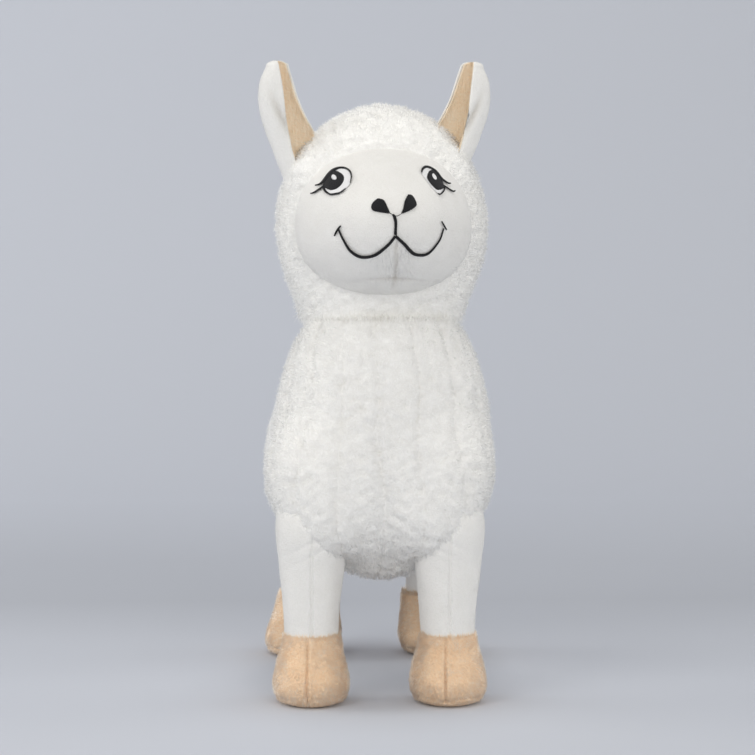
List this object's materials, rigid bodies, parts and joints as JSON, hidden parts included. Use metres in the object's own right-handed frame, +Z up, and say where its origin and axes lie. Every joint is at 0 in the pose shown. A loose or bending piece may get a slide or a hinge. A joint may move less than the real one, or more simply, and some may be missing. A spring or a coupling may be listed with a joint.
{
  "type": "plush toy alpaca",
  "caption": "Standing plush alpaca with curly fleece on its body, neck and crown, smooth face and legs, tan hooves and ear linings, and an embroidered face.",
  "frame": {"origin": "on the floor under the middle of the animal: midway between its sides and midway between its muzzle and its tail", "axes": "+Z up through the ears, -Y out of the face, +X towards the viewer's right when the face is seen from in front"},
  "size_m": [0.1318, 0.2441, 0.3588],
  "materials": {
    "white_fleece": "curly long-pile fleece",
    "white_plush": "short smooth plush",
    "tan_plush": "short smooth plush",
    "black_thread": "satin-stitch embroidery",
    "white_thread": "satin-stitch embroidery"
  },
  "bodies": {
    "root": {"chin_gusset": "white_plush", "ear_back_left": "white_plush", "ear_back_right": "white_plush", "ear_lining_left": "tan_plush", "ear_lining_right": "tan_plush", "eye_glint_left": "white_thread", "eye_glint_right": "white_thread", "eye_pupil_left": "black_thread", "eye_pupil_right": "black_thread", "eye_white_left": "white_thread", "eye_white_right": "white_thread", "eyelash_lower_left": "black_thread", "eyelash_lower_right": "black_thread", "eyelash_upper_left": "black_thread", "eyelash_upper_right": "black_thread", "eyelid_lower_left": "black_thread", "eyelid_lower_right": "black_thread", "eyelid_upper_left": "black_thread", "eyelid_upper_right": "black_thread", "face_panel": "white_plush", "hood_fleece": "white_fleece", "hoof_front_left": "tan_plush", "hoof_front_right": "tan_plush", "hoof_rear_left": "tan_plush", "hoof_rear_right": "tan_plush", "leg_front_left": "white_plush", "leg_front_right": "white_plush", "leg_rear_left": "white_plush", "leg_rear_right": "white_plush", "nostril_left": "black_thread", "nostril_right": "black_thread", "philtrum_stitch": "black_thread", "smile_corner_left": "black_thread", "smile_corner_right": "black_thread", "smile_stitch": "black_thread", "sole_front_left": "tan_plush", "sole_front_right": "tan_plush", "sole_rear_left": "tan_plush", "sole_rear_right": "tan_plush", "tail_fleece": "white_fleece", "torso_fleece": "white_fleece"}
  },
  "joints": []
}
